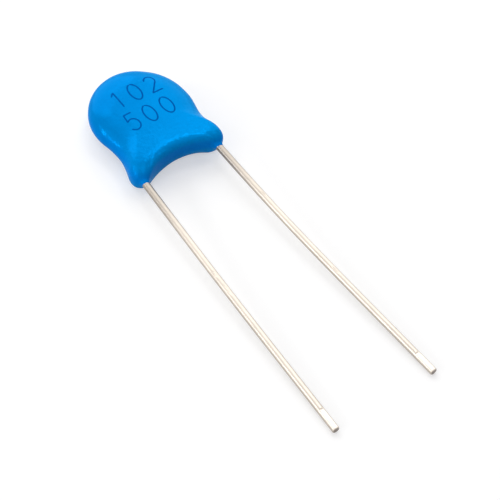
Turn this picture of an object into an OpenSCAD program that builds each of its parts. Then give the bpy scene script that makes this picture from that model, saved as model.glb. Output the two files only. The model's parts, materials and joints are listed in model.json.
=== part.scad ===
// Ceramic disc capacitor with two radial leads, dipped in epoxy.
//
// The part lies on its back. +Z points up through its front face, both leads
// run towards -Y, and the origin is the middle of the area that it covers.
// Lengths are in millimetres and angles are in degrees.
//
// From the inside out: a ceramic disc, a silver film fired on each face, a
// tinned wire soldered to each film, and one epoxy coating round all of it.
// The coating runs down both wires and leaves an arch between them.

/* [Ceramic disc] */
// Diameter of the ceramic disc
ceramic_d = 7.6; // [6.8:0.1:9]
// Thickness of the ceramic disc
ceramic_t = 0.7; // [0.6:0.05:1.6]
// Width of the bare ring round each silver film
film_margin = 0.5; // [0.3:0.05:0.8]
// Thickness of each silver film
film_t = 0.05; // [0.03:0.01:0.1]

/* [Leads] */
// Distance between the wires where they leave the coating
pitch = 7.5; // [7:0.1:8.4]
// Diameter of the wire
wire_d = 0.65; // [0.5:0.05:0.8]
// Length of each wire outside the coating
lead_l = 28; // [12:1:40]
// How far each wire leans outwards
lead_splay = 2.3; // [0:0.1:4]
// Radius of the wire's bends, at its centre line
bend_r = 1; // [0.7:0.1:1.2]
// Slope of the crank that lifts each wire onto its film
crank_slope = 35; // [30:1:45]
// How far the crank ends before the edge of the ceramic disc
crank_gap = 0.3; // [0.1:0.05:0.5]
// How far each wire runs on past the middle of the disc
wire_past_middle = 0.6; // [0.3:0.1:1]
// Length of the flat that the cropping tool leaves at each wire's end
crop_l = 2; // [0.5:0.1:3]
// Depth of that flat
crop_depth = 0.06; // [0.02:0.01:0.1]

/* [Solder] */
// Solder left under each wire
solder_under = 0.03; // [0.02:0.01:0.06]
// Solder over the top of each wire
solder_over = 0.1; // [0.06:0.01:0.2]
// Diameter of each cap of solder
solder_d = 3.4; // [2.4:0.1:3.6]

/* [Coating] */
// Thickness of the coating round the edge of the ceramic disc
coat_edge = 0.75; // [0.6:0.05:1.2]
// Thickness of the coating over the solder, in the middle of each face
coat_face = 0.4; // [0.2:0.02:0.8]
// How far each face falls from its middle to its edge
face_fall = 0.1; // [0:0.01:0.16]
// Width of the rounded rim round the disc, from the outline inwards
rim_w = 2.5; // [1.8:0.1:2.8]
// Width of the steeper rim at the arch
arch_rim_w = 1.3; // [1:0.1:2]
// How square the steeper rim at the arch is: 2 is an ellipse, more is squarer
arch_square = 2.6; // [2:0.1:3.4]
// Height over which the rim changes from the disc's kind to the arch's
rim_change_h = 2.6; // [2:0.1:3.4]
// How far the body sits to the right of the middle between the wires
body_shift = 0.15; // [-0.2:0.05:0.2]

/* [Coating legs] */
// How far the legs reach below the coated disc
leg_drop = 1.8; // [1.6:0.05:3]
// How far the middle of each leg's end lies inside its wire
leg_inset = 0.05; // [0:0.05:0.2]
// Radius of each leg's end
leg_r = 0.8; // [0.75:0.05:1.1]
// Radius of the shoulder on the outer side of each leg
shoulder_r = 2.5; // [1.6:0.1:3]
// Where the shoulder meets the leg's end, as an angle below level
shoulder_a = 7; // [0:1:20]
// Radius of the hollow flank between disc and leg
flank_r = 8; // [4:0.5:12]
// Radius of the arch between the legs
arch_r = 6.5; // [5:0.1:9]

/* [Hidden] */
$fn = 96;

LEFT = -1;
RIGHT = 1;

coating_colour = "#0A8AE6";
ceramic_colour = "#B9A58C";
silver_colour = "#D9D9D4";
wire_colour = "#B9B6B0";
solder_colour = "#8F9194";

// ---- Levels above the middle plane of the disc ----
ceramic_r = ceramic_d/2;
film_r = ceramic_r - film_margin;
wire_r = wire_d/2;
film_top = ceramic_t/2 + film_t;
wire_level = film_top + solder_under + wire_r;
// How far outside the coating each wire's first bend starts, how much thicker
// the wire is in a bend, and how far a straight run reaches into a bend
bend_out = 0.2;
bend_swell = 0.02;
lap = 0.1;
solder_top = wire_level + wire_r + solder_over;
half_t = solder_top + coat_face;

// ---- Plan of the coating, in the body's own plan frame ----
// The right half of the outline is a chain of five arcs that meet without a
// corner: disc, flank, shoulder, leg end and arch.
coat_r = ceramic_r + coat_edge;
leg_c = [pitch/2 - leg_inset, -(coat_r + leg_drop - leg_r)];
shoulder_c = leg_c - (shoulder_r - leg_r)*heading(-shoulder_a);
flank_c = apart([0, 0], coat_r + flank_r, shoulder_c, shoulder_r + flank_r);
arch_c = [0, leg_c.y - sqrt(pow(arch_r + leg_r, 2) - pow(leg_c.x, 2))];
// The point in the plan that the skin's straight runs head for
middle = [0, -coat_r/3];

disc_steps = 20;
flank_steps = 7;
shoulder_steps = 6;
leg_steps = 8;
arch_steps = 10;
rim_steps = 8;
face_steps = 5;

right_half = concat(
    arc([0, 0], coat_r, 90, bearing(flank_c), disc_steps),
    arc(flank_c, flank_r, bearing(flank_c) + 180, turn(bearing(shoulder_c - flank_c)), flank_steps),
    arc(shoulder_c, shoulder_r, bearing(flank_c - shoulder_c), -shoulder_a, shoulder_steps),
    arc(leg_c, leg_r, -shoulder_a, bearing(arch_c - leg_c), leg_steps),
    arc(arch_c, arch_r, bearing(leg_c - arch_c), 90, arch_steps),
    [arch_c + [0, arch_r]]
);
outline = concat(
    right_half,
    [for (i = [len(right_half) - 2:-1:1]) [-right_half[i].x, right_half[i].y]]
);

// The unit vector at angle a
function heading(a) = [cos(a), sin(a)];
// The angle of vector v, from -180 to 180
function bearing(v) = atan2(v.y, v.x);
// The same angle counted upwards from zero
function turn(a) = a < 0 ? a + 360 : a;
// Points along an arc, without its last one
function arc(c, r, from, to, steps) =
    [for (i = [0:steps - 1]) c + r*heading(from + (to - from)*i/steps)];
// The point to the left of the way from a to b at distance ra from a and rb from b
function apart(a, ra, b, rb) =
    let (
        d = norm(b - a),
        along = (ra*ra - rb*rb + d*d)/(2*d),
        across = sqrt(ra*ra - along*along),
        u = (b - a)/d
    )
    a + along*u + across*[-u.y, u.x];

// ---- Skin of the coating ----
// Half the body's thickness at plan point p, inside the rounded rim
function half_thickness(p) = half_t - face_fall*pow(norm(p)/coat_r, 2);
// How far the rim at outline point p has changed to the arch's kind, 0 to 1.
// It starts above the legs' ends and is done level with their middles.
function change(p) =
    let (t = min(1, max(0, 1 - (p.y - leg_c.y)/rim_change_h)))
    t*t*(3 - 2*t);
function rim_width(p) = rim_w + (arch_rim_w - rim_w)*change(p);
// The power that turns the ellipse of the rim into a squarer curve
function power(p) = 2/(2 + (arch_square - 2)*change(p));
// A point on the front skin. Each point of the outline has a straight run to
// the middle. Along it the rim is a quarter of an ellipse, squarer at the
// arch, and the face then rises gently, so nothing creases where two rims
// come close in a leg.
function rim_point(p, a) =
    let (q = p + rim_width(p)*(1 - pow(cos(a), power(p)))*(middle - p)/norm(middle - p))
    [q.x, q.y, half_thickness(q)*pow(sin(a), power(p))];
function face_point(p, s) =
    let (
        edge = p + rim_width(p)*(middle - p)/norm(middle - p),
        q = edge + s*(middle - edge)
    )
    [q.x, q.y, half_thickness(q)];

front_rings = concat(
    [for (k = [1:rim_steps]) [for (p = outline) rim_point(p, 90*k/rim_steps)]],
    [for (k = [1:face_steps - 1]) [for (p = outline) face_point(p, k/face_steps)]]
);
back_rings = [for (ring = front_rings) [for (p = ring) [p.x, p.y, -p.z]]];
skin_points = [
    for (p = outline) [p.x, p.y, 0],
    for (ring = front_rings) for (p = ring) p,
    for (ring = back_rings) for (p = ring) p,
    [middle.x, middle.y, half_thickness(middle)],
    [middle.x, middle.y, -half_thickness(middle)]
];

around = len(outline);
rings = len(front_rings);
// Index of point i on ring k of the front (side 0) or back (side 1) skin.
// Ring 0 is the outline, which both skins share.
function at(side, k, i) =
    (k == 0 ? 0 : around*(1 + side*rings + k - 1)) + i%around;
// A triangle, turned so that it faces outwards on either skin
function facing(side, a, b, c) = side == 0 ? [a, b, c] : [a, c, b];
skin_faces = [
    for (side = [0, 1]) for (k = [0:rings - 1]) for (i = [0:around - 1])
        each [
            facing(side, at(side, k, i), at(side, k + 1, i), at(side, k, i + 1)),
            facing(side, at(side, k + 1, i), at(side, k + 1, i + 1), at(side, k, i + 1))
        ],
    for (side = [0, 1]) for (i = [0:around - 1])
        facing(side, at(side, rings, i), around*(1 + 2*rings) + side, at(side, rings, i + 1))
];

// ---- Route of each wire ----
// Where the wire on one side leaves the coating
function exit_point(side) =
    let (off_middle = side*pitch/2 - body_shift - side*leg_c.x)
    [side*pitch/2, leg_c.y - sqrt(leg_r*leg_r - off_middle*off_middle)];
// The far end of its centre line
function end_point(side) =
    exit_point(side) + lead_l*[side*sin(lead_splay), -cos(lead_splay)];
// How far the wire turns inwards, so that it heads for the middle of the disc
function wire_turn(side) = atan2(pitch/2, -exit_point(side).y) - lead_splay;

crank_straight = (wire_level - 2*bend_r*(1 - cos(crank_slope)))/sin(crank_slope);
crank_l = 2*bend_r*sin(crank_slope) + crank_straight*cos(crank_slope);
// The level run between the inward turn and the crank
function run_in(side) =
    norm(exit_point(side)) + bend_out - bend_r*wire_turn(side)*PI/180
    - crank_l - crank_gap - ceramic_r;
// The level run over the film
wire_tail = crank_gap + ceramic_r + wire_past_middle;

// ---- Rest ----
// Tilted forwards by this angle, the lowest point of the back face and both
// wire ends lie on one level.
function coat_low(a) = min([for (ring = back_rings) for (p = ring) p.y*sin(a) + p.z*cos(a)]);
function wire_low(a) = min(end_point(LEFT).y, end_point(RIGHT).y)*sin(a) - wire_r*cos(a);
function settle(a, rounds) =
    rounds == 0 ? a : settle(a + (wire_low(a) - coat_low(a))/lead_l*180/PI, rounds - 1);
tilt = settle(2, 8);
far_y = max([for (p = outline) p.y])*cos(tilt);
near_y = min(end_point(LEFT).y, end_point(RIGHT).y)*cos(tilt) - wire_r*sin(tilt);

// Lays the upright build down as it rests
module at_rest() {
    translate([0, -(far_y + near_y)/2, -coat_low(tilt)]) rotate([tilt, 0, 0]) children();
}

// Turns what is drawn for the right-hand wire on the front face into what
// belongs to the wire on that side
module on_side(side) {
    if (side == RIGHT) mirror([0, 0, 1]) children();
    else mirror([1, 0, 0]) children();
}

// ---- Wire, drawn along +Y from its start, children at its far end ----
// Straight runs reach a little way into the bends at both ends. The bends are
// a touch thicker than the wire, as bent wire is, and swallow those ends.
module straight(l) {
    translate([0, -lap, 0]) rotate([-90, 0, 0]) cylinder(h = l + 2*lap, r = wire_r);
    translate([0, l, 0]) children();
}

// A bend to the left by angle a, in the plan
module bend_left(a) {
    translate([-bend_r, 0, 0]) {
        rotate_extrude(angle = a) translate([bend_r, 0]) circle(r = wire_r + bend_swell);
        rotate([0, 0, a]) translate([bend_r, 0, 0]) children();
    }
}

// A bend upwards by angle a, or downwards where a is below zero
module bend_up(a) {
    rotate([0, a < 0 ? -90 : 90, 0]) bend_left(abs(a)) rotate([0, a < 0 ? 90 : -90, 0]) children();
}

// The whole wire that lies on one face, from its cropped end to the solder
module wire(side) {
    start = exit_point(side);
    translate([pitch/2, start.y, 0]) rotate([0, 0, lead_splay]) {
        difference() {
            translate([0, lap - bend_out, 0]) rotate([90, 0, 0])
                cylinder(h = lead_l - bend_out + lap, r = wire_r);
            translate([-wire_d, -lead_l - crop_l, wire_r - crop_depth])
                cube([2*wire_d, 2*crop_l, wire_d]);
        }
        translate([0, -bend_out, 0]) bend_left(wire_turn(side)) straight(run_in(side))
            bend_up(crank_slope) straight(crank_straight)
            bend_up(-crank_slope) straight(wire_tail - lap);
    }
}

// ---- Pieces, upright ----
module ceramic() {
    translate([body_shift, 0, -ceramic_t/2]) cylinder(h = ceramic_t, r = ceramic_r);
}

module film() {
    translate([body_shift, 0, ceramic_t/2]) cylinder(h = film_t, r = film_r);
}

module lead(side) {
    on_side(side) wire(side);
}

// A cap of solder over the wire, above the level base
module solder_cap(side, base) {
    cap_h = solder_top - film_top;
    cap_r = (pow(solder_d/2, 2) + cap_h*cap_h)/(2*cap_h);
    on_side(side) intersection() {
        rotate([0, 0, wire_turn(side) + lead_splay])
            translate([0, -(film_r - wire_past_middle)/2, solder_top - cap_r])
            sphere(r = cap_r);
        translate([-ceramic_r, -ceramic_r, base]) cube([ceramic_d, ceramic_d, half_t]);
    }
}

// The solder itself, which stands on the film and goes round the wire
module solder(side) {
    difference() {
        solder_cap(side, film_top);
        lead(side);
    }
}

// The hollow in the coating, which all the inner pieces fill. Its parts reach
// into one another, so that no two of them only touch.
module hollow() {
    ceramic();
    translate([body_shift, 0, -film_top]) cylinder(h = 2*film_top, r = film_r);
    for (side = [LEFT, RIGHT]) {
        lead(side);
        solder_cap(side, 0);
    }
}

module skin() {
    translate([body_shift, 0, 0]) polyhedron(points = skin_points, faces = skin_faces, convexity = 4);
}

// ---- Nodes ----
module coating() {
    color(coating_colour) at_rest() difference() {
        skin();
        hollow();
    }
}

module ceramic_disc() {
    color(ceramic_colour) at_rest() ceramic();
}

module front_film() {
    color(silver_colour) at_rest() film();
}

module back_film() {
    color(silver_colour) at_rest() mirror([0, 0, 1]) film();
}

module left_lead() {
    color(wire_colour) at_rest() lead(LEFT);
}

module right_lead() {
    color(wire_colour) at_rest() lead(RIGHT);
}

module front_solder() {
    color(solder_colour) at_rest() solder(LEFT);
}

module back_solder() {
    color(solder_colour) at_rest() solder(RIGHT);
}

coating();
ceramic_disc();
front_film();
back_film();
left_lead();
right_lead();
front_solder();
back_solder();
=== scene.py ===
# %% [markdown]
# # A blue ceramic disc capacitor
#
# The real part is a small fired ceramic disc with a silver film on each face
# and a tinned wire soldered to each film. It is dipped in epoxy, disc first,
# so the wet resin creeps along both wires as two short legs and leaves an
# arch between them. This lesson dresses the construction model: it keeps
# the hidden pieces as they are, and stands smoother surfaces in for the
# coating and the wires. All of it lies on its back, as it would on a table.

# %% Load the construction model
import json

import bpy
import numpy as np
from mathutils import Matrix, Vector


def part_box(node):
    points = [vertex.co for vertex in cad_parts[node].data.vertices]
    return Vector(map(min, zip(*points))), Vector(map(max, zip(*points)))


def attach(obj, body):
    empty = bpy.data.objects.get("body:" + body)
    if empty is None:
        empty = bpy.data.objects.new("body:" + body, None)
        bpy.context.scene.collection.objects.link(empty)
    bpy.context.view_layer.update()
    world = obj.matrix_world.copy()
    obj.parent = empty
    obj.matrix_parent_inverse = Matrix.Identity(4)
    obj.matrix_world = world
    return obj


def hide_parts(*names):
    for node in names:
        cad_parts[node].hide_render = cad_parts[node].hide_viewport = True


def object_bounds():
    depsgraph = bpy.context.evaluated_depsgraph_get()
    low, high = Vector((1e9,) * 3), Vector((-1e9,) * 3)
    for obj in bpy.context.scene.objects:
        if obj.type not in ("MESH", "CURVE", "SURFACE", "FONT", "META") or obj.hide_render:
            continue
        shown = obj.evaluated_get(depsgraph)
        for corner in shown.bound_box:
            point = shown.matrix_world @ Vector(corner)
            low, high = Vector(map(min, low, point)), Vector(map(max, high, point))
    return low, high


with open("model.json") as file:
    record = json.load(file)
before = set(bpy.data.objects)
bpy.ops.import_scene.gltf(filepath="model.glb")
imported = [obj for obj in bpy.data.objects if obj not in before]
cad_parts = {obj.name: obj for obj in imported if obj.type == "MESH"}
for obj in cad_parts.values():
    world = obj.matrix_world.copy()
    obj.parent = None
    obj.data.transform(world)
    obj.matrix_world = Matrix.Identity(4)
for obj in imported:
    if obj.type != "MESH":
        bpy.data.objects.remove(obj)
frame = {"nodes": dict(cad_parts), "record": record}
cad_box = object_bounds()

print("nodes:", sorted(frame["nodes"]))

# %% [markdown]
# ## Measures
#
# Blender works in metres here, and the part is a few millimetres across, so
# lengths are written in millimetres and multiplied by one constant. What the
# construction model already knows is read from it: the box of the ceramic
# disc gives the body's middle, and the two wire mounts give the wires'
# radius, their direction and their ends.

# %% Measures from the model
MM = 0.001
LEFT, RIGHT = -1, 1
mounts = {mount["name"]: mount for mount in frame["record"]["mounts"]}
disc_low, disc_high = map(np.array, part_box("ceramic_disc"))
disc_middle = (disc_low + disc_high) / 2
ceramic_r = (disc_high[0] - disc_low[0]) / 2
body_shift = disc_middle[0]
wire_r = mounts["left_wire"]["dims"]["r_mm"] * MM
free_l = mounts["left_wire"]["dims"]["length_mm"] * MM
wire_axis = np.array(mounts["right_wire"]["axis"])
tilt = np.arctan2(-wire_axis[2], -wire_axis[1])
splay = np.arcsin(wire_axis[0])
print(f"ceramic radius {ceramic_r / MM:.2f} mm, wire radius {wire_r / MM:.3f} mm")
print(f"tilt {np.degrees(tilt):.2f} degrees, splay {np.degrees(splay):.2f} degrees")


# %% Upright frame
def upright_to_rest():
    """The turn by the tilt about X, and the move of the body's middle onto the ceramic disc's."""
    turn = np.array([[1, 0, 0],
                     [0, np.cos(tilt), -np.sin(tilt)],
                     [0, np.sin(tilt), np.cos(tilt)]])
    return turn, disc_middle - turn @ [body_shift, 0, 0]


def lay(points):
    """Points of the upright body, laid down as it rests: turn times point, plus move."""
    turn, move = upright_to_rest()
    return points @ turn.T + move


def stand(points):
    """The way back: the transposed turn times the point less the move."""
    turn, move = upright_to_rest()
    return (points - move) @ turn


def wire_end(side):
    """The free wire's far end: its mount's middle plus half its length along its axis."""
    mount = mounts["left_wire" if side == LEFT else "right_wire"]
    half = mount["dims"]["length_mm"] * MM / 2
    return stand(np.array(mount["pos_m"]) + half * np.array(mount["axis"]))


def free_axis(side):
    """The unit vector from the body out along a wire, upright."""
    return np.array([side * np.sin(splay), -np.cos(splay), 0])


print("wire ends, upright, mm:", *(np.round(wire_end(side) / MM, 2) for side in (LEFT, RIGHT)))


# %% [markdown]
# ## Helpers
#
# A few small functions serve the whole lesson. One turns a colour code as a
# painter picks it into the linear numbers that light is added up in. One
# measures how far along a path each of its points lies. One puts arrays of
# points and faces into a mesh. One adds a node to a material with its
# settings and links, whatever kind of node it is.

# %% Colour and mesh helpers
def linear(code):
    """An sRGB hex colour as linear RGBA: c/12.92 to 0.04045, above it ((c + 0.055)/1.055)^2.4."""
    c = np.array([int(code[i:i + 2], 16) for i in (1, 3, 5)]) / 255
    return [*np.where(c <= 0.04045, c / 12.92, ((c + 0.055) / 1.055) ** 2.4), 1.0]


def travelled(points):
    """The way covered at each point of a path: the running sum of the lengths of its steps."""
    return np.concatenate([[0], np.cumsum(np.linalg.norm(np.diff(points, axis=0), axis=1))])


def piece(name, points, faces, material):
    """A smooth-shaded mesh object at the origin, which rides with the body of the part."""
    mesh = bpy.data.meshes.new(name)
    mesh.from_pydata(points, [], faces)
    mesh.polygons.foreach_set("use_smooth", np.ones(len(mesh.polygons), bool))
    mesh.materials.append(material)
    mesh.validate()
    made = bpy.data.objects.new(name, mesh)
    bpy.context.scene.collection.objects.link(made)
    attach(made, "root")
    print(f"{name}: {len(mesh.vertices)} points, {len(mesh.polygons)} faces")
    return made


# %% Material helpers
def add(tree, kind, inputs, **settings):
    """Adds a node, sets its properties, and gives each input a value or a link to an output."""
    node = tree.nodes.new("ShaderNode" + kind)
    for name, value in settings.items():
        setattr(node, name, value)
    for key, value in inputs.items():
        if isinstance(value, bpy.types.NodeSocket):
            tree.links.new(value, node.inputs[key])
        else:
            node.inputs[key].default_value = value
    return node


def new_material(name, **constants):
    """A material with its surface shader, whose constant sockets are set straight on it."""
    material = bpy.data.materials.new(name)
    material.use_nodes = True
    surface = material.node_tree.nodes["Principled BSDF"]
    for socket, value in constants.items():
        surface.inputs[socket.replace("_", " ")].default_value = value
    return material, material.node_tree, surface


# %% [markdown]
# ## Camera
#
# The camera looks down from the left of the wires' side, at about 52 degrees,
# with a long lens from 16 cm away, so the wires run towards the lower right
# of the frame and spread as they come nearer. It is placed by two angles, a
# distance, the point it aims at, and a small roll.

# %% Camera
CAMERA_AZIMUTH = np.radians(-39.8)
CAMERA_ELEVATION = np.radians(51.96)
CAMERA_ROLL = np.radians(4.82)
CAMERA_DISTANCE = 162.14 * MM
CAMERA_AIM = np.array([-0.395, -1.85, 1.0]) * MM
LENS_MM = 142.6
SENSOR_MM = 36
NEAREST_SEEN = 10 * MM


def stance(across, up, back, at):
    """The matrix of an object at a place, from its three directions as columns."""
    matrix = np.eye(4)
    matrix[:3] = np.column_stack([across, up, back, at])
    return Matrix(matrix.tolist())


right_level = np.array([np.cos(CAMERA_AZIMUTH), np.sin(CAMERA_AZIMUTH), 0])
forward_level = np.array([-np.sin(CAMERA_AZIMUTH), np.cos(CAMERA_AZIMUTH), 0])
back = np.array([0, 0, np.sin(CAMERA_ELEVATION)]) - np.cos(CAMERA_ELEVATION) * forward_level
up_level = np.cross(back, right_level)
right = np.cos(CAMERA_ROLL) * right_level + np.sin(CAMERA_ROLL) * up_level

camera = bpy.data.objects.new("camera", bpy.data.cameras.new("camera"))
camera.data.sensor_width = SENSOR_MM
camera.data.lens = LENS_MM
camera.data.clip_start = NEAREST_SEEN
camera.matrix_world = stance(right, np.cross(back, right), back,
                             CAMERA_AIM + CAMERA_DISTANCE * back)
bpy.context.scene.collection.objects.link(camera)
bpy.context.scene.camera = camera
print("camera at, mm:", np.round(np.array(camera.matrix_world.translation) / MM, 1))


# %% [markdown]
# ## Outline of the coating
#
# Wet resin pulls itself into smooth curves, so the outline is a chain of
# arcs that meet without a corner: round the disc, a hollow flank, a rounded
# shoulder, the end of a leg, and half of the arch. The other half mirrors it.
# A dipped body is never quite even, so the outline swells a little in three
# places, each by a bell curve of its bearing from the disc's middle.

# %% Outline
RESIN_ROUND_DISC = 0.74 * MM
WIRE_PITCH = 7.5 * MM
LEG_INSET = 0.05 * MM
LEG_DROP = 1.8 * MM
leg_r, shoulder_r, flank_r, arch_r = np.array([0.8, 2.5, 8.0, 6.5]) * MM
SHOULDER_ANGLE = np.radians(-7)
POINTS_ROUND = 640
POINTS_PER_ARC = 400
# how far out in mm, then the bearing and the width in degrees
SWELLINGS = ((0.19, -18, 15), (0.04, -51, 6), (0.13, -131, 5))

coat_r = ceramic_r + RESIN_ROUND_DISC
leg_middle = np.array([WIRE_PITCH / 2 - LEG_INSET, -(coat_r + LEG_DROP - leg_r)])


def heading(angle):
    """The unit vector at an angle, or one row for each angle."""
    return np.stack([np.cos(angle), np.sin(angle)], axis=-1)


def bearing(vector):
    """The angle of a vector in the plan."""
    return np.arctan2(vector[..., 1], vector[..., 0])


def apart(a, ra, b, rb):
    """The point left of the way from a to b, ra from a and rb from b, by the cosine rule."""
    way = b - a
    d = np.linalg.norm(way)
    along = (ra**2 - rb**2 + d**2) / (2 * d)
    unit = way / d
    return a + along * unit + np.sqrt(ra**2 - along**2) * np.array([-unit[1], unit[0]])


def arc(centre, radius, start, end):
    """An arc drawn finely: centre plus radius times heading, for angles from start to end."""
    return centre + radius * heading(np.linspace(start, end, POINTS_PER_ARC))


# %% Chain of arcs
middle = np.zeros(2)
shoulder_middle = leg_middle - (shoulder_r - leg_r) * heading(SHOULDER_ANGLE)
flank_middle = apart(middle, coat_r + flank_r, shoulder_middle, shoulder_r + flank_r)
arch_middle = np.array([0, leg_middle[1] - np.sqrt((arch_r + leg_r)**2 - leg_middle[0]**2)])
half = np.concatenate([
    arc(middle, coat_r, np.pi / 2, bearing(flank_middle)),
    arc(flank_middle, flank_r, bearing(flank_middle) + np.pi,
        bearing(shoulder_middle - flank_middle) + 2 * np.pi),
    arc(shoulder_middle, shoulder_r, bearing(flank_middle - shoulder_middle), SHOULDER_ANGLE),
    arc(leg_middle, leg_r, SHOULDER_ANGLE, bearing(arch_middle - leg_middle)),
    arc(arch_middle, arch_r, bearing(leg_middle - arch_middle), np.pi / 2),
])
whole = np.concatenate([half, half[::-1] * [-1, 1]])
travel = travelled(whole)
even = np.linspace(0, travel[-1], POINTS_ROUND, endpoint=False)
outline = np.stack([np.interp(even, travel, whole[:, k]) for k in (0, 1)], axis=1)
for out_mm, at, wide in SWELLINGS:
    swell = out_mm * MM * np.exp(-((np.degrees(bearing(outline)) - at) / wide)**2)
    outline += swell[:, None] * heading(bearing(outline))
print(f"outline: {travel[-1] / MM:.1f} mm round, "
      f"a point each {travel[-1] / POINTS_ROUND / MM:.3f} mm")

# %% [markdown]
# ## Skin of the coating
#
# From each outline point a straight run heads for the middle of the body.
# Along it the rim rises as a quarter of a superellipse, which is an ellipse
# whose power of 2 may be higher: the higher the power, the squarer the rim.
# It is near an ellipse round the disc, a little squarer at the crown, and
# squarest at the arch, where the resin has sagged into a ridge. Past the rim
# the face goes on as a very flat dome. Long waves of some thousandths of a
# millimetre lie over it all, because no dipped skin is quite true.

# %% Rim round the outline
DISC_RIM = 2.5 * MM
ARCH_RIM_LEFT, ARCH_RIM_RIGHT = 2.1 * MM, 1.35 * MM
# powers of the rim, at the left and at the right: over the arch, and outside the legs
FRONT_SQUARE = {"arch": (4.0, 5.5), "leg": (2.2, 2.2)}
BACK_SQUARE = {"arch": (4.2, 2.0), "leg": (3.6, 2.2)}
# the crown is squarest at this bearing, and no squarer where its cosine is below this
CROWN_SQUARE = 2.6
CROWN_BEARING = np.radians(115)
CROWN_FROM = 0.4
# above the legs' middles, the height over which their rim turns into the disc's
RIM_CHANGE_H = 2.6 * MM
# inwards from a leg's middle, where its rim begins to turn into the arch's, and for how far
LEG_INSIDE = 0.2 * MM
LEG_TO_ARCH = 0.9 * MM


def smooth_step(x):
    """Zero below 0, one above 1, and 3x^2 - 2x^3 between."""
    x = np.clip(x, 0, 1)
    return x * x * (3 - 2 * x)


def rim_shape(edge, square):
    """Width and power of the rim at an edge point, by smooth steps from disc to leg to arch."""
    change = smooth_step(1 - (edge[..., 1] - leg_middle[1]) / RIM_CHANGE_H)
    across = smooth_step((edge[..., 0] / leg_middle[0] + 1) / 2)
    inner = smooth_step((leg_middle[0] - LEG_INSIDE - np.abs(edge[..., 0])) / LEG_TO_ARCH)
    facing = edge @ heading(CROWN_BEARING) / np.linalg.norm(edge, axis=-1)
    crown = smooth_step((facing - CROWN_FROM) / (1 - CROWN_FROM))
    arch_rim = ARCH_RIM_LEFT + (ARCH_RIM_RIGHT - ARCH_RIM_LEFT) * across
    arch_power, leg_power = (left + (right - left) * across
                             for left, right in (square["arch"], square["leg"]))
    leg_power = leg_power + (arch_power - leg_power) * inner
    disc_power = 2 + (CROWN_SQUARE - 2) * crown
    return (DISC_RIM + (arch_rim - DISC_RIM) * change,
            disc_power + (leg_power - disc_power) * change)


arch_top = arch_middle + [0, arch_r]
arch_width, arch_power = rim_shape(arch_top, FRONT_SQUARE)
print(f"rim at the arch: {arch_width / MM:.2f} mm wide, power {arch_power:.1f}")

# %% Height of the skin
HALF_THICKNESS = 1.57 * MM
# how much lower the dome is at the disc's edge than over its middle
FACE_FALL = 0.10 * MM
# the middle of the whole body, as a share of the disc's radius towards the legs
MIDDLE_SHARE = 1 / 3
plan_middle = np.array([0, -coat_r * MIDDLE_SHARE])
outline_bearing = bearing(outline - plan_middle)
order = np.argsort(outline_bearing)
outline_reach = np.linalg.norm(outline - plan_middle, axis=1)


def skin_height(q, square=FRONT_SQUARE):
    """The dome times (1 - (1 - x)^n)^(1/n), with x the share of the rim from the edge inwards."""
    run = q - plan_middle
    way = bearing(run)
    reach = np.interp(way, outline_bearing[order], outline_reach[order], period=2 * np.pi)
    edge = plan_middle + reach[..., None] * heading(way)
    width, power = rim_shape(edge, square)
    inward = np.clip((reach - np.linalg.norm(run, axis=-1)) / width, 0, 1)
    dome = HALF_THICKNESS - FACE_FALL * (np.linalg.norm(q, axis=-1) / coat_r)**2
    return dome * (1 - (1 - inward)**power)**(1 / power)


print(f"skin over the disc's middle: {skin_height(np.zeros((1, 2)))[0] / MM:.3f} mm")

# %% Waves in the resin
WAVE_SEED = 7
WAVE_COUNT = 14
WAVE_LENGTHS = (1.6 * MM, 5 * MM)
WAVE_HEIGHT = 0.006 * MM
dice = np.random.default_rng(WAVE_SEED)
wave_way = dice.normal(size=(WAVE_COUNT, 3))
wave_way /= np.linalg.norm(wave_way, axis=1, keepdims=True)
wave_vector = wave_way * (2 * np.pi / dice.uniform(*WAVE_LENGTHS, WAVE_COUNT))[:, None]
wave_phase = dice.uniform(0, 2 * np.pi, WAVE_COUNT)


def waves(points):
    """How far the resin stands proud: a sum of sines that run in all directions."""
    summed = np.sin(points @ wave_vector.T + wave_phase).sum(axis=-1)
    return WAVE_HEIGHT * summed / np.sqrt(WAVE_COUNT)


edge_waves = waves(np.c_[outline, np.zeros(POINTS_ROUND)]) / MM
print(f"waves along the edge from {edge_waves.min():.3f} to {edge_waves.max():.3f} mm")

# %% Grid of the skin
RIM_ROWS = 40
FACE_ROWS = 22
run_vector = plan_middle - outline
run_length = np.linalg.norm(run_vector, axis=1)


def half_skin(square):
    """Rows from the edge to the middle: 1 - cos^(2/n) of even angles, then even steps."""
    width, power = rim_shape(outline, square)
    angle = np.linspace(0, np.pi / 2, RIM_ROWS + 1)[:, None]
    rim_share = width * (1 - np.cos(angle)**(2 / power)) / run_length
    face_steps = np.linspace(0, 1, FACE_ROWS + 1)[1:-1, None]
    face_share = rim_share[-1] + (1 - rim_share[-1]) * face_steps
    plan = outline + np.concatenate([rim_share, face_share])[..., None] * run_vector
    height = skin_height(plan, square)
    height[0] = 0
    return np.concatenate([plan, height[..., None]], axis=-1)


front = half_skin(FRONT_SQUARE)
back_side = half_skin(BACK_SQUARE)[:0:-1] * [1, 1, -1]
grid = np.concatenate([back_side, front])
rows = len(grid)

# normals from the grid's own directions, so that the waves stand square on the skin
around_way = np.roll(grid, -1, axis=1) - np.roll(grid, 1, axis=1)
across_way = np.gradient(grid, axis=0)
normal = np.cross(across_way, around_way)
normal /= np.linalg.norm(normal, axis=-1, keepdims=True)
normal *= np.sign((normal * (grid - [0, plan_middle[1], 0])).sum(axis=-1).mean())
grid = grid + waves(grid)[..., None] * normal
grid[..., 0] += body_shift
print(f"skin: {rows} rows of {POINTS_ROUND} points")

# %% [markdown]
# ## Collars and closing of the skin
#
# Wet resin wets a wire and creeps along it, so each wire leaves the body
# through a small collar. The skin's own points are drawn out along the wire,
# more the nearer they are to it. One point in the middle of each face then
# closes the skin.

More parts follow.
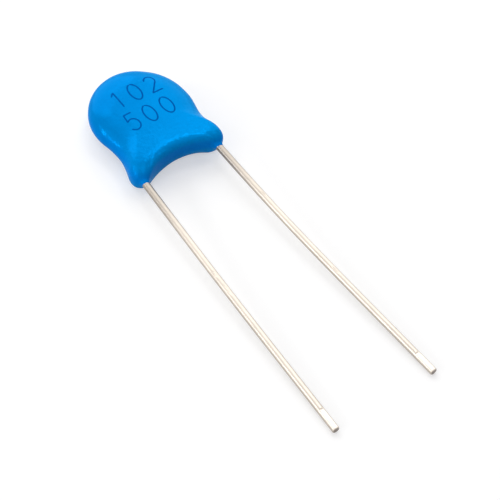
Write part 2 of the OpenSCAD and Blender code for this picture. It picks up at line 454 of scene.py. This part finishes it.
# %% Collars round the wires
COLLAR_HEIGHT = 0.36 * MM
COLLAR_REACH = 0.09 * MM
# only the skin this near to the legs' ends is drawn out
COLLAR_ZONE = 1.2 * MM


def collar(points, side):
    """The creep along a wire: the height times e to the minus distance off the wire over reach."""
    end = wire_end(side)
    out = free_axis(side)
    along = (points - end) @ out
    off_axis = np.linalg.norm(points - end - along[..., None] * out, axis=-1)
    exit_off = points[..., 1] - (leg_middle[1] - leg_r)
    near = np.exp(-(exit_off / COLLAR_ZONE)**4)
    creep = COLLAR_HEIGHT * np.exp(-np.clip(off_axis - wire_r, 0, None) / COLLAR_REACH) * near
    return creep[..., None] * out


grid = grid + collar(grid, LEFT) + collar(grid, RIGHT)
print(f"collars stand {COLLAR_HEIGHT / MM:.2f} mm out along the wires")


# %% Faces of the skin
def closed_faces(count, around, flip=False):
    """Quads between each ring and the next, then a fan over each end, whose middles come last."""
    i, j = np.meshgrid(np.arange(count - 1), np.arange(around), indexing="ij")
    j_next = (j + 1) % around
    quads = np.stack([i * around + j, (i + 1) * around + j,
                      (i + 1) * around + j_next, i * around + j_next], axis=-1).reshape(-1, 4)
    ring = np.arange(around)
    ring_next = (ring + 1) % around
    last = (count - 1) * around
    centre = np.full_like(ring, count * around)
    first_fan = np.stack([ring, ring_next, centre], axis=-1)
    last_fan = np.stack([last + ring_next, last + ring, centre + 1], axis=-1)
    if flip:
        quads, first_fan, last_fan = (quads[:, [0, 3, 2, 1]], first_fan[:, [1, 0, 2]],
                                      last_fan[:, [1, 0, 2]])
    return [*quads.tolist(), *first_fan.tolist(), *last_fan.tolist()]


pole_height = skin_height(plan_middle[None])[0]
poles = np.array([[body_shift, plan_middle[1], -pole_height],
                  [body_shift, plan_middle[1], pole_height]])
skin_points = lay(np.concatenate([grid.reshape(-1, 3), poles]))
skin_faces = closed_faces(rows, POINTS_ROUND)
print("coating box, mm:", np.round(skin_points.min(axis=0) / MM, 3),
      np.round(skin_points.max(axis=0) / MM, 3))

# %% [markdown]
# ## Epoxy coating
#
# Dipped epoxy: a glossy pigmented resin, cured in an oven. To the eye it is
# an even sky blue whose lights are blue as well, because the pigment lies
# just under the skin. The small metallic share gives that tinted shine, and
# the clear shine over it is kept very low. Painted light makes the blue a
# little deeper towards the crown and the left and lighter towards the arch
# and the right, and painted shade makes it deeper on the body's sides. From
# close by the skin has the dimples of orange peel, shallower on the disc
# than by the arch.

# %% Epoxy: colours and real sizes
EPOXY_BLUE = "#0099EB"
EPOXY_DEEP = "#0077C3"
# the deeper blue of the sides is painted shade on the steep walls
EPOXY_SIDE_SHADE = "#0082DE"
EPOXY_IOR = 1.5
EPOXY_ROUGHNESS = 0.14
EPOXY_SPECULAR = 0.009
EPOXY_METALLIC = 0.10
EPOXY_SHINE = "#00FFFF"
# the dimples have their real spacing, and are drawn several times deeper, so that they show
PEEL_PITCH = 0.30 * MM
PEEL_DEPTH = 0.035 * MM
# along the part, they are full up to the first place, and this share as deep past the second
PEEL_FULL_BELOW = 11.5 * MM
PEEL_SHALLOW_ABOVE = 13.5 * MM
PEEL_SHALLOW = 0.5
# clouds are the uneven thickness; grain is clumped pigment, drawn coarser than real to show
CLOUD_PITCH = 3.0 * MM
GRAIN_PITCH = 0.22 * MM
GRAIN_SHARE = 0.4
# painted light, lighter towards the arch: the colour goes from deep to light along this way, in
# shares per mm, between two values
PAINTED_LIGHT_WAY = (0.07 / MM, -0.055 / MM, 0.0)
PAINTED_LIGHT_FROM, PAINTED_LIGHT_TO = -1.1, -0.4
PAINTED_LIGHT_SHARE = 0.5
# heights above and below the body's middle where the painted shade of the sides fades out
SIDE_SHADE_FROM, SIDE_SHADE_TO = 0.2 * MM, 0.9 * MM

epoxy, tree, surface = new_material(
    "dipped_epoxy", Roughness=EPOXY_ROUGHNESS, IOR=EPOXY_IOR, Metallic=EPOXY_METALLIC,
    Specular_IOR_Level=EPOXY_SPECULAR, Specular_Tint=linear(EPOXY_SHINE))
place = add(tree, "TexCoord", {}).outputs["Object"]
along = add(tree, "SeparateXYZ", {0: place})
print(f"{epoxy.name}: dimples each {PEEL_PITCH / MM:.2f} mm")

# %% Epoxy: blue and its shades
cloud = add(tree, "TexNoise", {"Vector": place, "Scale": 1 / CLOUD_PITCH, "Detail": 1.0})
grain = add(tree, "TexNoise", {"Vector": place, "Scale": 1 / GRAIN_PITCH, "Detail": 1.0})
# painted light: the blue is lighter towards the arch and the right, deeper towards the crown
painted_light_dot = add(tree, "VectorMath", {0: place, 1: PAINTED_LIGHT_WAY}, operation="DOT_PRODUCT")
painted_light = add(tree, "MapRange", {"Value": painted_light_dot.outputs["Value"],
                                 "From Min": PAINTED_LIGHT_FROM, "From Max": PAINTED_LIGHT_TO})
uneven = add(tree, "Mix", {0: GRAIN_SHARE, 2: cloud.outputs["Fac"], 3: grain.outputs["Fac"]})
shade = add(tree, "Mix", {0: PAINTED_LIGHT_SHARE, 2: uneven.outputs[0], 3: painted_light.outputs[0]})
# painted shade: a deeper blue in a band round the body's sides
level = add(tree, "Math", {0: along.outputs["Z"], 1: disc_middle[2]}, operation="SUBTRACT")
level = add(tree, "Math", {0: level.outputs[0]}, operation="ABSOLUTE")
face = add(tree, "MapRange", {"Value": level.outputs[0], "From Min": SIDE_SHADE_FROM,
                              "From Max": SIDE_SHADE_TO}, interpolation_type="SMOOTHSTEP")
blue = add(tree, "Mix", {0: shade.outputs[0], 6: linear(EPOXY_DEEP), 7: linear(EPOXY_BLUE)},
           data_type="RGBA")
blue = add(tree, "Mix", {0: face.outputs[0], 6: linear(EPOXY_SIDE_SHADE), 7: blue.outputs[2]},
           data_type="RGBA")
tree.links.new(blue.outputs[2], surface.inputs["Base Color"])
print("blue from", EPOXY_DEEP, "to", EPOXY_BLUE, "and", EPOXY_SIDE_SHADE, "on the sides")

# %% Epoxy: orange peel
peel = add(tree, "TexNoise", {"Vector": place, "Scale": 1 / PEEL_PITCH, "Detail": 2.0})
strength = add(tree, "MapRange", {"Value": along.outputs["Y"], "From Min": PEEL_FULL_BELOW,
                                  "From Max": PEEL_SHALLOW_ABOVE,
                                  "To Min": 1.0, "To Max": PEEL_SHALLOW})
bump = add(tree, "Bump", {"Height": peel.outputs["Fac"], "Strength": strength.outputs[0],
                          "Distance": PEEL_DEPTH})
tree.links.new(bump.outputs["Normal"], surface.inputs["Normal"])

coat = piece("coating_skin", skin_points, skin_faces, epoxy)
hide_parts("coating")

# %% [markdown]
# ## Route of a wire
#
# Each wire leaves the body almost straight, with a bow of a quarter of a
# millimetre at most. Just outside the coating it turns inwards, and inside
# it a crank lifts it onto the silver film, where the solder holds it. The
# route is worked out as a walk: the heading is the sum of all turning so
# far, and the place is the sum of all steps along it. The walk is drawn for
# the right-hand wire on the front and then mirrored, and the bow is added.

# %% Walk along bends
STEP = 0.05 * MM


def walk(start, plan_heading, legs):
    """The sum of small steps: a leg's length, turn in plan and turn upwards are spread evenly."""
    counts = [max(int(np.ceil(leg[0] / STEP)), 1) for leg in legs]
    step, left, rise = (np.concatenate([np.full(n, leg[k] / n) for n, leg in zip(counts, legs)])
                        for k in range(3))
    yaw = plan_heading + np.cumsum(left) - left / 2
    pitch_up = np.cumsum(rise) - rise / 2
    way = np.stack([np.cos(pitch_up) * np.cos(yaw), np.cos(pitch_up) * np.sin(yaw),
                    np.sin(pitch_up)], axis=1)
    return start + np.concatenate([np.zeros((1, 3)), np.cumsum(way * step[:, None], axis=0)])


print("steps along a wire, mm:", STEP / MM)

# %% Route
BEND_R = 1.0 * MM
BEND_OUT = 0.2 * MM
CRANK_SLOPE = np.radians(35)
CRANK_GAP = 0.3 * MM
PAST_MIDDLE = 0.6 * MM
HALF_CERAMIC, FILM, SOLDER_UNDER = 0.35 * MM, 0.05 * MM, 0.03 * MM
wire_level = HALF_CERAMIC + FILM + SOLDER_UNDER + wire_r
BOW = {LEFT: 0.09 * MM, RIGHT: 0.24 * MM}
# draws the deepest point of the bow nearer to the body
BOW_LEAN = 0.1
# keeps the slanted ends inside the construction model's box
TIP_GAP = 0.005 * MM


def route(side):
    """The centre line of one wire, from its cropped end to the end in the solder."""
    end = wire_end(side) * [side, 1, 1] + [0, TIP_GAP, 0]
    leave = end - (free_l + BEND_OUT) * free_axis(RIGHT)
    turn = np.arctan2(leave[0], -leave[1]) - splay
    straight = (wire_level - 2 * BEND_R * (1 - np.cos(CRANK_SLOPE))) / np.sin(CRANK_SLOPE)
    crank_l = 2 * BEND_R * np.sin(CRANK_SLOPE) + straight * np.cos(CRANK_SLOPE)
    level = np.hypot(*leave[:2]) + BEND_OUT - BEND_R * turn - crank_l - CRANK_GAP - ceramic_r
    points = walk(end, np.pi / 2 + splay, [
        (free_l, 0, 0),
        (BEND_R * turn, turn, 0),
        (level, 0, 0),
        (BEND_R * CRANK_SLOPE, 0, CRANK_SLOPE),
        (straight, 0, 0),
        (BEND_R * CRANK_SLOPE, 0, -CRANK_SLOPE),
        (CRANK_GAP + ceramic_r + PAST_MIDDLE, 0, 0),
    ])
    points = points * ([1, 1, -1] if side == RIGHT else [-1, 1, 1])
    share = np.clip(1 - np.linalg.norm(points - points[0], axis=1) / free_l, 0, 1)
    points[:, 0] -= BOW[side] * np.sin(np.pi * (share + BOW_LEAN * np.sin(np.pi * share)))
    return points


print("a route has", len(route(LEFT)), "points")

# %% [markdown]
# ## Wire
#
# A round profile is carried along the route. The cropping tool has pressed a
# shallow flat into the top of the last two millimetres, with a small nick
# where the flat begins, and the sheared end is slightly rounded. Tools and
# tapes have also left two small scratches on each wire. Beside its place,
# each point keeps an "unbent" place: where it would be on a straight wire
# along Z. The finish reads that, so its lines follow the wire round bends.

# %% Wire surface
POINTS_PER_RING = 72
CROP_L = 2.0 * MM
CROP_DEPTH = 0.06 * MM
NICK_DEPTH = 0.05 * MM
NICK_WIDTH = 0.09 * MM
END_ROUNDING = 0.05 * MM
# the chord's height is divided by a sine, which is kept off zero
LEAST_SINE = 0.05
SCRATCH_DEPTH = 0.07 * MM
SCRATCH_WIDTH = 9
# each in mm from the cropped end, degrees round the wire (as the width is), and half length in mm
SCRATCHES = {LEFT: ((15.2, 78, 0.45), (17.0, 76, 0.25)),
             RIGHT: ((21.5, 100, 0.3), (12.0, 84, 0.35))}


def cropped_radius(travel, angle, scratches):
    """The wire's radius, cut to a chord over flat and nick, less bell-shaped scratches."""
    flat = CROP_DEPTH * smooth_step((CROP_L - travel) / (2 * NICK_WIDTH))
    nick = NICK_DEPTH * np.exp(-((travel - CROP_L) / NICK_WIDTH)**2)
    chord = (wire_r - flat - nick) / np.clip(np.sin(angle), LEAST_SINE, None)
    radius = np.minimum(wire_r, chord)
    for at, turn, half_l in scratches:
        radius -= SCRATCH_DEPTH * np.exp(-((travel / MM - at) / half_l)**4
                                         - ((np.degrees(angle) - turn) / SCRATCH_WIDTH)**2)
    return radius - END_ROUNDING * np.clip(1 - travel / END_ROUNDING, 0, 1)**2


def wire_surface(side):
    """Rings round the route: path plus radius times the two ways across, cosine and sine."""
    path = route(side)
    way = np.gradient(path, axis=0)
    way /= np.linalg.norm(way, axis=1, keepdims=True)
    across = np.stack([-way[:, 1], way[:, 0], np.zeros(len(way))], axis=1)
    across /= np.linalg.norm(across, axis=1, keepdims=True)
    above = np.cross(across, way)
    above *= np.sign(above[:, 2:])
    angle = np.linspace(0, 2 * np.pi, POINTS_PER_RING, endpoint=False)
    travel = travelled(path)[:, None]
    radius = cropped_radius(travel, angle, SCRATCHES[side])
    cosine, sine = np.cos(angle), np.sin(angle)
    rings = path[:, None] + radius[..., None] * (
        cosine[None, :, None] * across[:, None] + sine[None, :, None] * above[:, None])
    unbent = np.stack([radius * cosine, radius * sine,
                       np.broadcast_to(travel, radius.shape)], axis=-1)
    return rings, path, unbent


print(f"a wire's ring has {POINTS_PER_RING} points")

# %% [markdown]
# ## Tinned wire
#
# Drawn copper-clad steel wire with a hot-dipped coat of tin. It gives the
# eye a soft, slightly warm metal shine, with lines along the wire from the
# drawing die and duller patches where the tin has thickened. Near the
# coating the tin is painted darker: painted shade and painted reflection of
# the body, which shades the wire there. Real die lines are about a hundredth
# of a millimetre apart, too fine to show, so they are drawn nine times as
# coarse. The cropped end shows the darker sheared core.

# %% Hot-dipped tin
TIN_LIGHT = "#C6BDB2"
TIN_DULL = "#A9A198"
# painted shade: the tin is darker near the coating, where the body shades the wire
TIN_ROOT_SHADE = "#999188"
TIN_ROUGHNESS = 0.36
ROOT_SHADE_LENGTH = 8 * MM
PATCH_PITCH = 1.8 * MM
LINE_PITCH = 0.09 * MM
LINE_LENGTH = 6 * MM
LINE_DEPTH = 0.004 * MM
LINE_SHARE = 0.35

tin, tree, surface = new_material("hot_dipped_tin", Metallic=1.0, Roughness=TIN_ROUGHNESS)
unbent = add(tree, "Attribute", {}, attribute_name="unbent").outputs["Vector"]
patch = add(tree, "TexNoise", {"Vector": unbent, "Scale": 1 / PATCH_PITCH, "Detail": 3.0})
drawn = add(tree, "Mapping", {"Vector": unbent,
                              "Scale": (1 / LINE_PITCH, 1 / LINE_PITCH, 1 / LINE_LENGTH)})
lines = add(tree, "TexNoise", {"Vector": drawn.outputs[0], "Scale": 1.0, "Detail": 2.0})
uneven = add(tree, "Mix", {0: LINE_SHARE, 2: patch.outputs["Fac"], 3: lines.outputs["Fac"]})
tone = add(tree, "Mix", {0: uneven.outputs[0], 6: linear(TIN_DULL), 7: linear(TIN_LIGHT)},
           data_type="RGBA")
travel = add(tree, "SeparateXYZ", {0: unbent}).outputs["Z"]
# painted shade, fading out along the wire away from the coating
root_shade = add(tree, "MapRange", {"Value": travel, "From Min": free_l - ROOT_SHADE_LENGTH,
                              "From Max": free_l}, interpolation_type="SMOOTHSTEP")
tone = add(tree, "Mix", {0: root_shade.outputs[0], 6: tone.outputs[2], 7: linear(TIN_ROOT_SHADE)},
           data_type="RGBA")
tree.links.new(tone.outputs[2], surface.inputs["Base Color"])
bump = add(tree, "Bump", {"Height": lines.outputs["Fac"], "Strength": 1.0, "Distance": LINE_DEPTH})
tree.links.new(bump.outputs["Normal"], surface.inputs["Normal"])
print(f"{tin.name}: lines each {LINE_PITCH / MM:.2f} mm")


# %% Two-tone finishes
def mottled(name, dark, light, pitch, detail, attribute=None, **constants):
    """A colour that goes from dark to light with a noise on an attribute or Object coordinates."""
    material, tree, surface = new_material(name, **constants)
    if attribute:
        where = add(tree, "Attribute", {}, attribute_name=attribute).outputs["Vector"]
    else:
        where = add(tree, "TexCoord", {}).outputs["Object"]
    noise = add(tree, "TexNoise", {"Vector": where, "Scale": 1 / pitch, "Detail": detail})
    tone = add(tree, "Mix", {0: noise.outputs["Fac"], 6: linear(dark), 7: linear(light)},
               data_type="RGBA")
    tree.links.new(tone.outputs[2], surface.inputs["Base Color"])
    return material


# sheared steel: matt, grey and torn in patches, because the blade rips the last part through
TEAR_PITCH = 0.12 * MM
core = mottled("sheared_steel", "#6E655E", "#A39A92", TEAR_PITCH, 3.0, "unbent",
               Metallic=1.0, Roughness=0.5)
print(f"{core.name}: tears each {TEAR_PITCH / MM:.2f} mm")

# %% Wires
for side, name, node in ((LEFT, "left_wire", "left_lead"), (RIGHT, "right_wire", "right_lead")):
    rings, path, unbent = wire_surface(side)
    points = lay(np.concatenate([rings.reshape(-1, 3), path[:1], path[-1:]]))
    wire = piece(name, points, closed_faces(len(path), POINTS_PER_RING, flip=True), tin)
    ends = np.array([[0, 0, 0], [0, 0, unbent[-1, 0, 2]]])
    wire.data.attributes.new("unbent", "FLOAT_VECTOR", "POINT").data.foreach_set(
        "vector", np.concatenate([unbent.reshape(-1, 3), ends]).astype(np.float32).ravel())
    # the first fan is the sheared end
    wire.data.materials.append(core)
    finish = np.zeros(len(wire.data.polygons), np.int32)
    finish[-2 * POINTS_PER_RING:-POINTS_PER_RING] = 1
    wire.data.polygons.foreach_set("material_index", finish)
    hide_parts(node)

# %% [markdown]
# ## Hidden pieces
#
# The ceramic disc, the silver films and the caps of solder stay as the
# construction model has them. They are out of sight, and still get the
# finish that they would show if the coating were taken off.

# %% Ceramic, silver and solder
# fired ceramic: a dry, sandy tan with fine grit from the press
GRIT_PITCH = 0.12 * MM
ceramic = mottled("fired_ceramic", "#A8937A", "#C6B397", GRIT_PITCH, 4.0, Roughness=0.7)
# fired silver: a pale, matt metal, because the film sinters as a fine sponge
SINTER_PITCH = 0.08 * MM
silver = mottled("fired_silver", "#CFCFC8", "#E6E6E0", SINTER_PITCH, 3.0,
                 Metallic=1.0, Roughness=0.55)
# solder: a brighter grey metal that froze from liquid in soft patches
FREEZE_PITCH = 0.3 * MM
solder = mottled("tin_lead_solder", "#9A9B9C", "#B9BABA", FREEZE_PITCH, 3.0,
                 Metallic=1.0, Roughness=0.28)

for node, material in (("ceramic_disc", ceramic), ("front_film", silver), ("back_film", silver),
                       ("front_solder", solder), ("back_solder", solder)):
    mesh = frame["nodes"][node].data
    mesh.materials.clear()
    mesh.materials.append(material)
print("hidden pieces finished")

# %% [markdown]
# ## Printed numbers
#
# A pad stamps two short rows of plain numbers on the front face, in a darker
# blue. Each stroke is a path in the plan, widened to a ribbon a sixth of a
# millimetre wide that lies on the skin, a few thousandths of a millimetre
# proud. A pad lays its ink about that thick, and the height keeps the two
# surfaces apart.

# %% Strokes of the digits
POINTS_PER_CURVE = 40


def curve(cx, cy, rx, ry, start, end):
    """An arc of an ellipse in the digit's box, from one angle to another in degrees."""
    a = np.radians(np.linspace(start, end, POINTS_PER_CURVE))
    return np.stack([cx + rx * np.cos(a), cy + ry * np.sin(a)], axis=1)


# strokes in a box one unit high, from the lower left corner
DIGITS = {
    "0": [curve(0.28, 0.5, 0.27, 0.5, 90, 450)],
    "1": [np.array([[0.12, 0.80], [0.32, 1.0], [0.32, 0.0]])],
    "2": [np.concatenate([curve(0.28, 0.72, 0.26, 0.28, 165, -35), [[0.02, 0.0], [0.57, 0.0]]])],
    "5": [np.concatenate([[[0.50, 1.0], [0.10, 1.0], [0.06, 0.58]],
                          curve(0.26, 0.33, 0.28, 0.33, 125, -150)])],
}
print("digits drawn:", *DIGITS)

# %% Ribbons of ink
STROKE_W = 0.17 * MM
STROKE_STEP = 0.05 * MM
FEWEST_STEPS = 4
COLUMNS = 7
INK_HEIGHT = 0.006 * MM
# the ends are round, and their last row keeps this share of the width's square
BLUNT = 0.02


def ribbon(path):
    """Path plus offset times its normal, lifted onto the skin with a rounded top and ends."""
    travel = travelled(path)
    count = max(int(travel[-1] / STROKE_STEP), FEWEST_STEPS)
    s = np.linspace(0, travel[-1], count)
    line = np.stack([np.interp(s, travel, path[:, k]) for k in (0, 1)], axis=1)
    way = np.gradient(line, axis=0)
    way /= np.linalg.norm(way, axis=1, keepdims=True)
    offset = np.linspace(-1, 1, COLUMNS)
    from_end = np.clip(np.minimum(s, s[-1] - s) / (STROKE_W / 2), 0, 1)
    half_w = STROKE_W / 2 * np.sqrt(np.clip(1 - (1 - from_end)**2, BLUNT, 1))
    sideways = np.stack([-way[:, 1], way[:, 0]], axis=1)
    plan = line[:, None] + offset[None, :, None] * half_w[:, None, None] * sideways[:, None]
    local = plan - [body_shift, 0]
    z = skin_height(local)
    level = z + waves(np.concatenate([local, z[..., None]], axis=-1))
    level = level + INK_HEIGHT * (1 - 2 * offset[None]**4)
    return np.concatenate([plan, level[..., None]], axis=-1)


def ribbon_faces(count, wide, start):
    """Quads of one ribbon, whose points begin at start."""
    i, j = np.meshgrid(np.arange(count - 1), np.arange(wide - 1), indexing="ij")
    k = start + i * wide + j
    return np.stack([k, k + wide, k + wide + 1, k + 1], axis=-1).reshape(-1, 4).tolist()


print(f"strokes {STROKE_W / MM:.2f} mm wide")

# %% Two rows of numbers
DIGIT_H = 1.85 * MM
DIGIT_PITCH = 1.75 * MM
# the text of each row, and its lower left corner
PRINTED_ROWS = (("102", np.array([-1.93, 0.37]) * MM), ("500", np.array([-2.15, -2.25]) * MM))
# pad-printed ink: a thin matt lacquer, so it only darkens the gloss of the resin
INK_BLUE = "#0056A8"
INK_ROUGHNESS = 0.4

ink_points, ink_faces, used = [], [], 0
for text, corner in PRINTED_ROWS:
    for place_in_row, digit in enumerate(text):
        for stroke in DIGITS[digit]:
            path = corner + [place_in_row * DIGIT_PITCH, 0] + stroke * DIGIT_H
            stroke_rows = ribbon(path)
            ink_points.append(lay(stroke_rows.reshape(-1, 3)))
            ink_faces += ribbon_faces(len(stroke_rows), COLUMNS, used)
            used += len(stroke_rows) * COLUMNS

ink, tree, surface = new_material(
    "pad_printed_ink", Roughness=INK_ROUGHNESS, Base_Color=linear(INK_BLUE),
    Specular_IOR_Level=EPOXY_SPECULAR, Specular_Tint=linear(EPOXY_SHINE))
piece("printed_numbers", np.concatenate(ink_points), ink_faces, ink)

# %% [markdown]
# ## Floor and background
#
# The part lies on a plain white card. The sky is white where the camera, a
# reflection or glass looks at it, and lights the part at a plain level. The
# card is grey enough to show a shadow under studio lamps, and a glow of its
# own, for those same looks, brings its lit part back to white.


# %% Floor
def looked_at(tree):
    """One on rays from the camera, off a gloss or through glass, by the largest of the three."""
    rays = add(tree, "LightPath", {})
    seen = add(tree, "Math", {0: rays.outputs["Is Camera Ray"], 1: rays.outputs["Is Glossy Ray"]},
               operation="MAXIMUM")
    return add(tree, "Math", {0: seen.outputs[0], 1: rays.outputs["Is Transmission Ray"]},
               operation="MAXIMUM").outputs[0]


FLOOR_HALF = 3.0
FLOOR_WHITE = "#C6C6C6"
FLOOR_ROUGHNESS = 0.9
FLOOR_LIFT = 0.48

card, tree, surface = new_material("white_card", Roughness=FLOOR_ROUGHNESS,
                                   Specular_IOR_Level=0.0, Base_Color=linear(FLOOR_WHITE))
glow = add(tree, "Emission", {"Color": linear("#FFFFFF"), "Strength": FLOOR_LIFT})
none = add(tree, "Emission", {"Strength": 0.0})
lift = add(tree, "MixShader", {0: looked_at(tree), 1: none.outputs[0], 2: glow.outputs[0]})
both = add(tree, "AddShader", {0: surface.outputs[0], 1: lift.outputs[0]})
tree.links.new(both.outputs[0], tree.nodes["Material Output"].inputs["Surface"])

corners = np.array([[-1, -1, 0], [1, -1, 0], [1, 1, 0], [-1, 1, 0]]) * FLOOR_HALF
floor_mesh = bpy.data.meshes.new("floor")
floor_mesh.from_pydata(corners, [], [(0, 1, 2, 3)])
floor_mesh.materials.append(card)
floor = bpy.data.objects.new("floor", floor_mesh)
floor.location.z = cad_box[0].z
bpy.context.scene.collection.objects.link(floor)
print(f"floor {2 * FLOOR_HALF:.0f} m across, at height {cad_box[0].z / MM:.3f} mm")

# %% World
SKY_LIGHT = 0.15
SKY_TINT = "#FFFDF8"
world = bpy.data.worlds.new("studio")
world.use_nodes = True
bpy.context.scene.world = world
tree = world.node_tree
dim = add(tree, "Background", {"Color": linear(SKY_TINT), "Strength": SKY_LIGHT})
bright = add(tree, "Background", {"Color": linear("#FFFFFF"), "Strength": 1.0})
mixed = add(tree, "MixShader", {0: looked_at(tree), 1: dim.outputs[0], 2: bright.outputs[0]})
tree.links.new(mixed.outputs[0], tree.nodes["World Output"].inputs["Surface"])
print("sky lights at", SKY_LIGHT)

# %% [markdown]
# ## Lamps
#
# Soft boxes stand round the part and light it evenly, with twice as much
# from behind, so the shadows stay soft and fall forwards under the arch.
# Small lamps between them are there for their mirror images: each stands
# where a certain curve of the resin reflects it to the camera, and so draws
# a short glint on the flank, the legs or the ridge over the arch. Their size
# sets the glint's size, and their level its strength. A faint blue box in
# front stands for the blue light that the table throws back into the arch.

# %% Soft box
LAMP_DISTANCE = 0.45


def softbox(name, way, wide, high, level, tint="#FFFFFF", roll=0):
    """A lamp that faces the part, round if wide equals high: energy is level pi^2 distance^2.

    At level 1 it lights a surface square to it as a white sky does. Roll turns it, in degrees."""
    way = np.array(way) / np.linalg.norm(way)
    data = bpy.data.lights.new(name, "AREA")
    data.shape = "ELLIPSE" if wide == high else "RECTANGLE"
    data.size = wide
    data.size_y = high
    data.energy = level * np.pi**2 * LAMP_DISTANCE**2
    data.color = linear(tint)[:3]
    lamp = bpy.data.objects.new(name, data)
    level_way = np.cross([0, 0, 1], way)
    level_way /= np.linalg.norm(level_way)
    turn = np.radians(roll)
    wide_way = np.cos(turn) * level_way + np.sin(turn) * np.cross(way, level_way)
    lamp.matrix_world = stance(wide_way, np.cross(way, wide_way), way, LAMP_DISTANCE * way)
    bpy.context.scene.collection.objects.link(lamp)


print("lamps stand", LAMP_DISTANCE, "m away")

# %% Lamps
# name, way to the lamp, width and height in metres, and level
softbox("softbox_left", (-0.88, 0.0, 0.42), 0.5, 0.5, 0.34)
# glints on the left flank and on the left leg
softbox("strip_left", (-0.83, 0.39, 0.4), 0.11, 0.04, 0.10, roll=-36)
softbox("strip_leg", (-0.92, 0.08, 0.37), 0.14, 0.04, 0.10)
softbox("softbox_right", (0.72, 0.42, 0.55), 0.5, 0.5, 0.33)
softbox("softbox_back", (0.0, 0.87, 0.5), 0.5, 0.5, 0.66)
softbox("softbox_over", (0.2, 0.47, 0.86), 0.3, 0.3, 0.04)
# the light along the middle of the wires, then the ridge over the arch and the legs
softbox("lamp_wires", (-0.15, 0.47, 0.87), 0.26, 0.26, 0.04)
softbox("lamp_over", (0.37, 0.17, 0.91), 0.15, 0.15, 0.12)
softbox("lamp_crest", (-0.12, -0.35, 0.93), 0.12, 0.12, 0.03)
softbox("lamp_front", (-0.1, -0.62, 0.78), 0.11, 0.11, 0.045)
softbox("lamp_leg", (0.67, -0.45, 0.59), 0.14, 0.14, 0.06)
# low light for the right rim, and the blue light that comes back into the arch
softbox("softbox_low", (0.75, 0.63, 0.2), 0.5, 0.5, 0.08)
softbox("fill_front", (0.1, -0.9, 0.35), 0.5, 0.5, 0.04, "#3058FF")
print(len(bpy.data.lights), "lamps")

# %% Plain view
bpy.context.scene.view_settings.view_transform = "Standard"
print("view:", bpy.context.scene.view_settings.view_transform)
